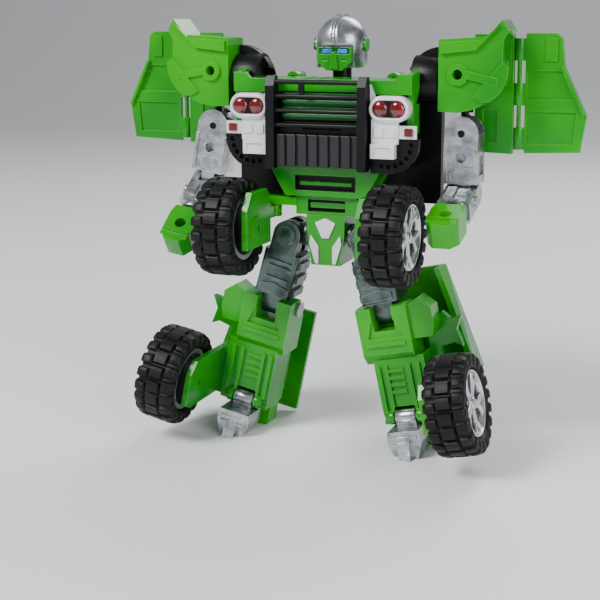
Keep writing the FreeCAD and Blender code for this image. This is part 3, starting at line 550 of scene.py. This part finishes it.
def tyre_parts(radius, half, bead, depth, lugs):
    """Tyre surface: the radius over (turn, place across) is a rounded crown less the grooves of its blocks.

    Across the tyre the section is a superellipse from bead to crown. The tread is a middle row of blocks
    and two shoulder rows, half a block out of step with each other, parted by two grooves round the tyre and
    one cross groove a block; the shoulder grooves run down the side wall. All groove walls are smooth steps."""
    lift = (radius - bead) / 2
    middle = (radius + bead) / 2
    place = np.linspace(0, 2 * math.pi, 4001)
    x = half * np.sign(np.cos(place)) * np.abs(np.cos(place)) ** 0.38
    r = middle + lift * np.sign(np.sin(place)) * np.abs(np.sin(place)) ** 0.52
    x, r = evenly_spaced(x, r, 130)
    turn = np.linspace(0, 2 * math.pi, lugs * 15, endpoint=False)[:, None]
    across = np.abs(x / half)[None]
    shoulder = across > ROW_EDGE
    stagger = np.where(shoulder, np.where(x[None] > 0, STAGGER[1], STAGGER[0]), 0.0)
    phase = (turn / (2 * math.pi) * lugs + stagger) % 1.0
    width = np.where(shoulder, SHOULDER_GROOVE, MIDDLE_GROOVE)
    cross = smooth_step(width - np.abs(phase - 0.5), 60)
    round_groove = smooth_step(ROUND_GROOVE - np.abs(across - ROW_EDGE), 90)
    reach = smooth_step((r[None] - radius + 3.4 * depth) / depth, 5)
    cut = np.maximum(cross, round_groove) * depth * reach
    sipe = smooth_step(0.02 - np.abs((phase * 2) % 1.0 - 0.5), 120) * SIPE_SHARE * depth * reach
    rings = [np.exp(-((r[None] - bead - height * lift) / half_ring) ** 2) for height, half_ring in RINGS]
    on_side = across > SIDE_START
    radii = r[None] - np.where(on_side & (r[None] < middle), 0.0, cut + sipe)
    wide = x[None] - np.sign(x)[None] * np.where(on_side, RING_RISE * sum(rings) + 0.5 * cut, 0.0)
    wide = np.broadcast_to(wide, radii.shape)
    points = np.stack([wide, radii * np.cos(turn), radii * np.sin(turn)], axis=-1)
    return grid_mesh(points, wrap_u=True, wrap_v=True)


# sections along the axle: millimetres outwards from the rim's face, share of the bead radius
LIP_SECTION = ((0.0, 0.995), (0.35, 0.965), (0.2, 0.925), (-0.9, 0.89), (-2.6, 0.865))
HUB_SECTION = ((-5.6, 0.27), (-1.5, 0.27), (-0.9, 0.245), (-0.8, 0.19), (-0.2, 0.17), (0.1, 0.1))
HUB_TOP = 0.2 * MM
BARREL_SHARE = 0.86
DISH_SECTION = ((-5.4, 0.85), (-6.2, 0.85))
DISH_DEPTH = (5.0 * MM, 6.2 * MM)
SPOKE_WIDTH = 3.0 * MM
BRANCH_WIDTH = 2.1 * MM
SPOKE_DEPTH = 1.8 * MM
NUT_R = 0.62 * MM
NUT_RISE = 0.4 * MM


def wheel_section(section, face, bead):
    """A section's (outwards, share) pairs as (place along the axle, radius)."""
    return [(face + outwards * MM, bead * share) for outwards, share in section]


def dish_parts(bead, half):
    """The dark dish behind the spokes: a shallow disc revolved round the axle."""
    face = half * FACE_SHARE
    near, far = DISH_DEPTH
    back = [(face - near, POLE)] + wheel_section(DISH_SECTION, face, bead) + [(face - far, POLE)]
    return grid_mesh(revolved(back, 72), wrap_u=True)


def on_face(face, radius, angle, depth):
    """A point at a radius and an angle, a depth below the rim's face."""
    return np.array([face - depth, radius * math.cos(angle), radius * math.sin(angle)])


def spoke_parts(face, bead, turn, spread):
    """A Y spoke: a stem from the hub to the fork and two branches from there to the lip."""
    across = np.array([0.0, -math.sin(turn), math.cos(turn)])
    root = on_face(face, bead * 0.2, turn, 1.7 * MM)
    fork = on_face(face, bead * 0.56, turn, 1.5 * MM)
    stem_end = on_face(face, bead * 0.6, turn, 1.5 * MM)
    parts = [bar(root, stem_end, across, SPOKE_WIDTH, SPOKE_DEPTH, 1.15)]
    for way in (-1, 1):
        end = on_face(face, bead * 0.9, turn + way * spread, 1.1 * MM)
        parts.append(bar(fork + across * (way * 0.5 * MM), end, across, BRANCH_WIDTH, SPOKE_DEPTH, 1.05))
    return parts


def rim_parts(bead, half, spokes):
    """Rim: a stepped lip and barrel revolved round the axle, Y spokes, wheel nuts and a domed hub."""
    face = half * FACE_SHARE
    lip = wheel_section(LIP_SECTION, face, bead) + [(-face, bead * BARREL_SHARE), (-face, bead * 0.995)]
    hub = wheel_section(HUB_SECTION, face, bead) + [(face + HUB_TOP, POLE)]
    parts = [grid_mesh(revolved(lip, 96), wrap_u=True, wrap_v=True)]
    parts.append(grid_mesh(revolved(hub, 48), wrap_u=True))
    pitch = 2 * math.pi / spokes
    for spoke in range(spokes):
        turn = pitch * (spoke + 0.25)
        parts += spoke_parts(face, bead, turn, pitch * 0.24)
        nut = on_face(face, bead * 0.19, turn + pitch / 2, 0.75 * MM)
        parts.append(dome(nut, [1.0, 0.0, 0.0], NUT_R, NUT_RISE, 6, 16))
    return parts


def wheel_frame(joint):
    """The joint's frame with its axis turned away from the robot's middle, and its position."""
    turn, centre = axle_frame(joint)
    outward = 1.0 if centre[0] * turn[0][0] > 0 else -1.0
    return turn * np.array([[outward], [1.0], [outward]]), centre


class ROBOT_OT_wheels(bpy.types.Operator):
    """Build the four tyres and rims on their axles"""
    bl_idname = "robot.wheels"
    bl_label = "Wheels"

    def execute(self, context):
        wheels = context.scene.robot_wheels
        tyre = tyre_parts(TYRE_R - CROWN_CLEAR, TYRE_HALF - SIDE_CLEAR, BEAD_R - BEAD_CLEAR,
                          wheels.tread_depth, wheels.lugs)
        rim = rim_parts(BEAD_R - RIM_CLEAR, TYRE_HALF, wheels.spokes)
        dish = dish_parts(BEAD_R - RIM_CLEAR, TYRE_HALF)
        for place in ("front", "rear"):
            for side in SIDES:
                turn, centre = wheel_frame(JOINTS[f"{place}_wheel_spin_{side}"])
                body = f"{place}_wheel_{side}"
                make_piece(f"{place}_tyre_{side}_tread", seated([tyre], turn, centre), body,
                           "rubber", [f"{place}_tyre_{side}"], 50)
                make_piece(f"{place}_rim_{side}_spokes", seated(rim, turn, centre), body,
                           "rim_chrome", [f"{place}_rim_{side}"], 40)
                make_piece(f"{place}_rim_{side}_dish", seated([dish], turn, centre), body, "black")
        return {"FINISHED"}


def stadium(centre, half_length, radius, steps=20):
    """A ring of points: two half circles of a radius joined by straights, in the XZ plane."""
    t = np.linspace(-math.pi / 2, math.pi / 2, steps)
    right = np.stack([half_length + radius * np.cos(t), radius * np.sin(t)], axis=-1)
    left = -right
    outline = np.concatenate([right, left])
    return np.array(centre) + np.insert(outline, 1, 0.0, axis=1)


class ROBOT_OT_lamps(bpy.types.Operator):
    """Build the domed headlamps and the dark oval recess and bright rim round each pair"""
    bl_idname = "robot.lamps"
    bl_label = "Lamps"

    def execute(self, context):
        middle = sum(LAMP_X) / 2
        spread = (LAMP_X[1] - LAMP_X[0]) / 2
        for side, sign in SIGNS.items():
            flat = LAMP_FRONT - 0.12 * MM
            recess = np.stack([stadium((sign * middle, flat, LAMP_Z), spread, r * MM) for r in RECESS_RINGS])
            recess[-1, :, 1] += 0.1 * MM
            recess = grid_mesh(recess, wrap_v=True)
            make_piece(f"lamp_recess_{side}", [recess], "torso", "black", smooth_angle=30)
            rim = np.stack([stadium((sign * middle, LAMP_FRONT + y * MM, LAMP_Z), spread, r * MM)
                            for r, y in LAMP_RIM])
            rim = grid_mesh(rim, wrap_v=True)
            make_piece(f"lamp_rim_{side}", [rim], "torso", "white_paint", smooth_angle=50)
            seats = [[sign * x, LAMP_FRONT - 0.05 * MM, LAMP_Z] for x in LAMP_X]
            domes = [dome(seat, [0.0, -1.0, 0.0], LAMP_RADIUS, LAMP_RISE) for seat in seats]
            make_piece(f"lamp_domes_{side}", domes, "torso", "red_lens", smooth_angle=60)
        return {"FINISHED"}


def rounded_outline(corners, radius, steps=8):
    """A convex outline whose corners are quadratic curves that start and end a radius from each."""
    corners = np.array(corners, float)
    points = []
    for index, corner in enumerate(corners):
        before = corners[index - 1] - corner
        after = corners[(index + 1) % len(corners)] - corner
        start = corner + before / np.linalg.norm(before) * radius
        end = corner + after / np.linalg.norm(after) * radius
        for t in np.linspace(0, 1, steps):
            points.append((1 - t) ** 2 * start + 2 * t * (1 - t) * corner + t ** 2 * end)
    return np.array(points)


def pane_parts(corners, sign):
    """A flat pane with rounded corners and a softened rim, as rings that shrink to its middle."""
    outline = rounded_outline(corners, WINDOW_ROUND)
    middle = outline.mean(axis=0)
    rings = []
    section = ((1.0, WINDOW_BACK), (1.0, WINDOW_FACE - WINDOW_EDGE),
               (0.985, WINDOW_FACE), (0.0, WINDOW_FACE))
    for share, y in section:
        flat = (middle + (outline - middle) * share) * MM
        rings.append(np.stack([sign * flat[:, 0], np.full(len(flat), y), flat[:, 1]], axis=-1))
    return grid_mesh(np.array(rings), wrap_v=True)


class ROBOT_OT_windows(bpy.types.Operator):
    """Lay the dark door windows into the recesses on the outer faces of the door panels"""
    bl_idname = "robot.windows"
    bl_label = "Door windows"

    def execute(self, context):
        for side, sign in SIGNS.items():
            panes = [pane_parts(corners, sign) for corners in (UPPER_WINDOW, LOWER_WINDOW)]
            make_piece(f"door_windows_{side}", panes, f"wing_{side}", "dark_glass", smooth_angle=30)
        return {"FINISHED"}


def oblong(half, low, high, y):
    """A rounded rectangle of points in an XZ plane, in millimetres."""
    flat = rounded_outline([(-half, low), (half, low), (half, high), (-half, high)], 0.3, 5)
    return np.stack([flat[:, 0], np.full(len(flat), y), flat[:, 1]], axis=-1)


class ROBOT_OT_recess_shade(bpy.types.Operator):
    """Paint shade into the recesses of the waist and the pelvis: a black sheet over their floors and walls,
    round their rails
    """
    bl_idname = "robot.linings"
    bl_label = "Recess painted shade"

    def execute(self, context):
        parts = []
        for node, depth, half, low, high, rail, rail_low, rail_high in RECESSES:
            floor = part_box(node)[0][1] / MM + depth
            wall = SHADE_SHEET_WALL
            # painted shade: a black sheet over the recess's floor and walls, round its rail
            rings = [oblong(rail, rail_low, rail_high, floor - SHADE_SHEET_LIFT),
                     oblong(half - wall, low + wall, high - wall, floor - SHADE_SHEET_LIFT),
                     oblong(half - wall, low + wall, high - wall, floor - SHADE_SHEET_RISE),
                     oblong(half, low, high, floor - SHADE_SHEET_RISE),
                     oblong(half, low, high, floor + SHADE_SHEET_SINK),
                     oblong(rail, rail_low, rail_high, floor + SHADE_SHEET_SINK)]
            parts.append(grid_mesh(np.array(rings) * MM, wrap_u=True, wrap_v=True))
        make_piece("recess_linings", parts, "torso", "black", smooth_angle=30)
        return {"FINISHED"}


class ROBOT_OT_stage(bpy.types.Operator):
    """Lay the pale floor, the soft lights and the camera"""
    bl_idname = "robot.stage"
    bl_label = "Stage"

    def execute(self, context):
        sweep = [(FLOOR_FRONT, 0.0), (FLOOR_BEND, 0.0)]
        sweep += [(FLOOR_BEND + math.sin(t), 1.0 - math.cos(t)) for t in np.linspace(0.05, 1.57, 24)]
        sweep.append((FLOOR_BEND + 1.0, FLOOR_TOP))
        edges = [[(x, y, z - FLOOR_DROP) for y, z in sweep] for x in (-FLOOR_HALF, FLOOR_HALF)]
        points, faces = grid_mesh(np.array(edges), flip=True)
        mesh = bpy.data.meshes.new("floor")
        mesh.from_pydata(points.tolist(), [], faces.tolist())
        mesh.shade_smooth()
        floor = bpy.data.objects.new("floor", mesh)
        bpy.context.scene.collection.objects.link(floor)
        paper = Finish("floor_paper")
        shade = paper.noise(3.0, 2.0)
        paper.set(Base_Color=paper.mix(shade, (0.82, 0.82, 0.83), (0.86, 0.86, 0.87)),
                  Roughness=(shade * 0.1 + 0.5).clipped())
        mesh.materials.append(paper.material)
        world = bpy.data.worlds.new("studio")
        world.use_nodes = True
        background = world.node_tree.nodes["Background"]
        background.inputs["Color"].default_value = (0.93, 0.95, 1.0, 1.0)
        background.inputs["Strength"].default_value = 0.3
        context.scene.world = world
        for name, place, size, watts in LIGHTS:
            lamp = bpy.data.lights.new(name, "AREA")
            lamp.size = size
            lamp.energy = watts
            light = bpy.data.objects.new(name, lamp)
            light.location = place
            light.rotation_euler = (LIGHT_TARGET - Vector(place)).to_track_quat("-Z", "Y").to_euler()
            context.scene.collection.objects.link(light)
        add_camera(context)
        return {"FINISHED"}


def add_camera(context):
    """The camera looks level-headed from the front, a little to the robot's left."""
    turn, rise = math.radians(CAMERA_TURN), math.radians(CAMERA_RISE)
    back = Vector((math.sin(turn) * math.cos(rise), -math.cos(turn) * math.cos(rise), math.sin(rise)))
    data = bpy.data.cameras.new("camera")
    data.lens = CAMERA_LENS
    data.sensor_width = 36.0
    data.shift_x, data.shift_y = CAMERA_SHIFT
    camera = bpy.data.objects.new("camera", data)
    camera.location = CAMERA_TARGET + back * CAMERA_DISTANCE
    camera.rotation_euler = (-back).to_track_quat("-Z", "Y").to_euler()
    context.scene.collection.objects.link(camera)
    context.scene.camera = camera


class ROBOT_PT_panel(bpy.types.Panel):
    """The robot's settings and the buttons that build it"""
    bl_idname = "ROBOT_PT_panel"
    bl_label = "Converting Robot"
    bl_space_type = "VIEW_3D"
    bl_region_type = "UI"
    bl_category = "Robot"

    def draw(self, context):
        for settings in (context.scene.robot_finish, context.scene.robot_wheels):
            for key in settings.bl_rna.properties.keys():
                if key not in ("rna_type", "name"):
                    self.layout.prop(settings, key)
        for operator in OPERATORS:
            self.layout.operator(operator.bl_idname)


OPERATORS = (ROBOT_OT_finish, ROBOT_OT_wheels, ROBOT_OT_lamps, ROBOT_OT_windows,
             ROBOT_OT_recess_shade, ROBOT_OT_stage)
CLASSES = (RobotFinish, RobotWheels) + OPERATORS + (ROBOT_PT_panel,)


def register():
    for cls in CLASSES:
        bpy.utils.register_class(cls)
    bpy.types.Scene.robot_finish = bpy.props.PointerProperty(type=RobotFinish)
    bpy.types.Scene.robot_wheels = bpy.props.PointerProperty(type=RobotWheels)


def unregister():
    del bpy.types.Scene.robot_wheels
    del bpy.types.Scene.robot_finish
    for cls in reversed(CLASSES):
        bpy.utils.unregister_class(cls)


def main():
    register()
    for operator in OPERATORS:
        group, name = operator.bl_idname.split(".")
        if getattr(getattr(bpy.ops, group), name)() != {"FINISHED"}:
            raise RuntimeError(operator.bl_idname)


if __name__ == "__main__":
    main()
